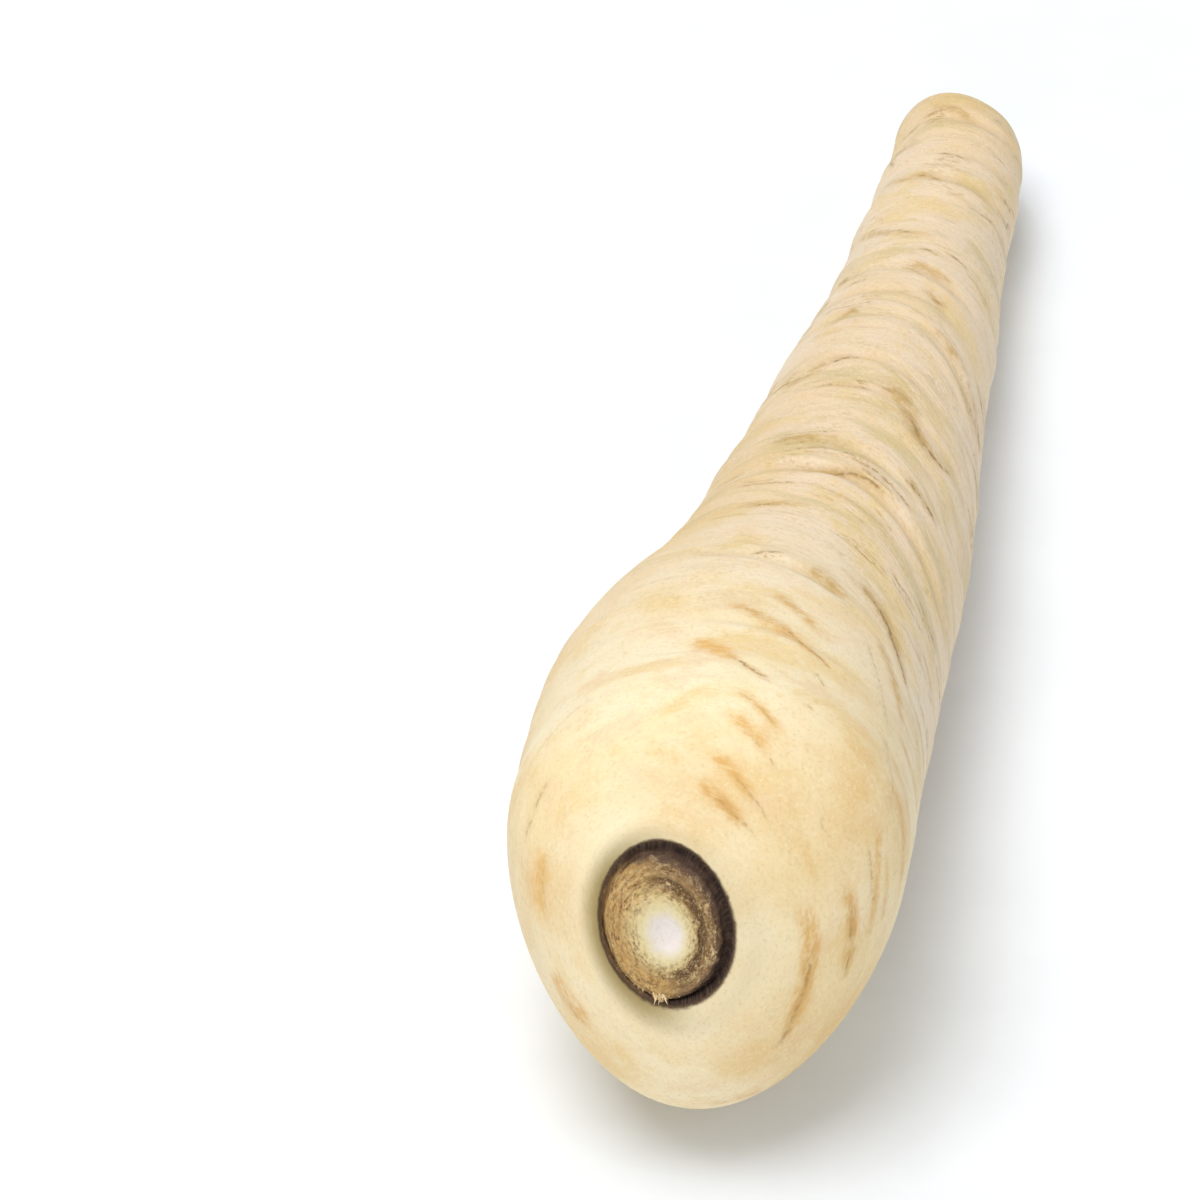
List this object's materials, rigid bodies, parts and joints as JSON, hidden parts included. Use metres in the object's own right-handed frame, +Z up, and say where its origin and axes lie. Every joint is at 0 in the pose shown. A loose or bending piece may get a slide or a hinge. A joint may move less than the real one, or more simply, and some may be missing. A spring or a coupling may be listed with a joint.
{
  "type": "parsnip",
  "caption": "Whole parsnip root lying on its side, broad crown with a cut leaf stump in its pit, tapering to a trimmed tail.",
  "frame": {"origin": "on the surface the root lies on, under the middle of its bounding box", "axes": "+Y along the root from the crown to the tail, +Z up, +X to the right seen from the crown"},
  "size_m": [0.0646, 0.2526, 0.0712],
  "materials": {
    "skin": "cream root skin, smooth and slightly waxy, with tan folds across it"
  },
  "bodies": {
    "root": {"parsnip": "skin"}
  },
  "joints": []
}
